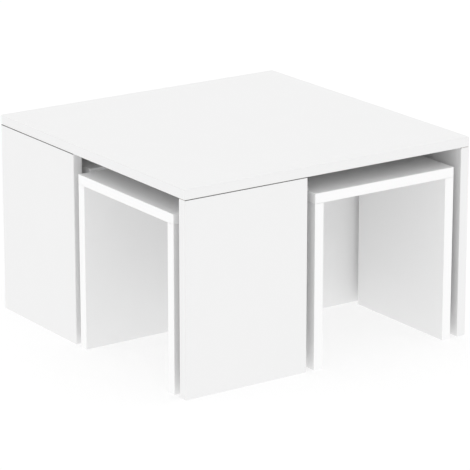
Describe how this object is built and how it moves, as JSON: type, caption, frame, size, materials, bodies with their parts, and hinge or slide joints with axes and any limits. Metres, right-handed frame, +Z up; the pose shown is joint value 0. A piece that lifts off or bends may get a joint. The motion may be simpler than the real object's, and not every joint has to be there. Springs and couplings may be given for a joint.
{
  "type": "coffee table with nesting tables",
  "caption": "Square low table on panel legs set in a pinwheel, with a small U-shaped side table nested under each side that pulls straight out.",
  "frame": {"origin": "on the floor, below the middle of the square top", "axes": "+Z up; -Y is the front side, and each side is the last one turned by 90 degrees about +Z; each nested table slides straight out of its own side: front along -Y, right along +X, back along +Y, left along -X"},
  "size_m": [0.6, 0.6, 0.368],
  "materials": {
    "white_board": "matt white melamine-faced board",
    "white_nest_board": "matt white melamine-faced board with brighter white edges",
    "beech_dowel": "raw fluted beech",
    "zinc_plated_bolt": "zinc-plated steel",
    "cast_cam_lock": "die-cast zinc alloy, bare"
  },
  "bodies": {
    "main_table": {"main_top": "white_board", "front_leg_panel": "white_board", "right_leg_panel": "white_board", "back_leg_panel": "white_board", "left_leg_panel": "white_board", "front_cam_lock_1": "cast_cam_lock", "front_cam_lock_2": "cast_cam_lock", "front_cam_bolt_1": "zinc_plated_bolt", "front_cam_bolt_2": "zinc_plated_bolt", "front_leg_dowel_1": "beech_dowel", "front_leg_dowel_2": "beech_dowel", "right_cam_lock_1": "cast_cam_lock", "right_cam_lock_2": "cast_cam_lock", "right_cam_bolt_1": "zinc_plated_bolt", "right_cam_bolt_2": "zinc_plated_bolt", "right_leg_dowel_1": "beech_dowel", "right_leg_dowel_2": "beech_dowel", "back_cam_lock_1": "cast_cam_lock", "back_cam_lock_2": "cast_cam_lock", "back_cam_bolt_1": "zinc_plated_bolt", "back_cam_bolt_2": "zinc_plated_bolt", "back_leg_dowel_1": "beech_dowel", "back_leg_dowel_2": "beech_dowel", "left_cam_lock_1": "cast_cam_lock", "left_cam_lock_2": "cast_cam_lock", "left_cam_bolt_1": "zinc_plated_bolt", "left_cam_bolt_2": "zinc_plated_bolt", "left_leg_dowel_1": "beech_dowel", "left_leg_dowel_2": "beech_dowel"},
    "front_table": {"front_nest_top": "white_nest_board", "front_nest_leg_left": "white_nest_board", "front_nest_leg_right": "white_nest_board", "front_nest_dowel_1": "beech_dowel", "front_nest_dowel_2": "beech_dowel", "front_nest_dowel_3": "beech_dowel", "front_nest_dowel_4": "beech_dowel"},
    "right_table": {"right_nest_top": "white_nest_board", "right_nest_leg_left": "white_nest_board", "right_nest_leg_right": "white_nest_board", "right_nest_dowel_1": "beech_dowel", "right_nest_dowel_2": "beech_dowel", "right_nest_dowel_3": "beech_dowel", "right_nest_dowel_4": "beech_dowel"},
    "back_table": {"back_nest_top": "white_nest_board", "back_nest_leg_left": "white_nest_board", "back_nest_leg_right": "white_nest_board", "back_nest_dowel_1": "beech_dowel", "back_nest_dowel_2": "beech_dowel", "back_nest_dowel_3": "beech_dowel", "back_nest_dowel_4": "beech_dowel"},
    "left_table": {"left_nest_top": "white_nest_board", "left_nest_leg_left": "white_nest_board", "left_nest_leg_right": "white_nest_board", "left_nest_dowel_1": "beech_dowel", "left_nest_dowel_2": "beech_dowel", "left_nest_dowel_3": "beech_dowel", "left_nest_dowel_4": "beech_dowel"}
  },
  "joints": [
    {"name": "front_table_slide", "type": "slide", "parent": "main_table", "child": "front_table", "axis": [0, -1, 0], "range_m": [0, 0.3]},
    {"name": "right_table_slide", "type": "slide", "parent": "main_table", "child": "right_table", "axis": [1, 0, 0], "range_m": [0, 0.3]},
    {"name": "back_table_slide", "type": "slide", "parent": "main_table", "child": "back_table", "axis": [0, 1, 0], "range_m": [0, 0.3]},
    {"name": "left_table_slide", "type": "slide", "parent": "main_table", "child": "left_table", "axis": [-1, 0, 0], "range_m": [0, 0.3]}
  ]
}
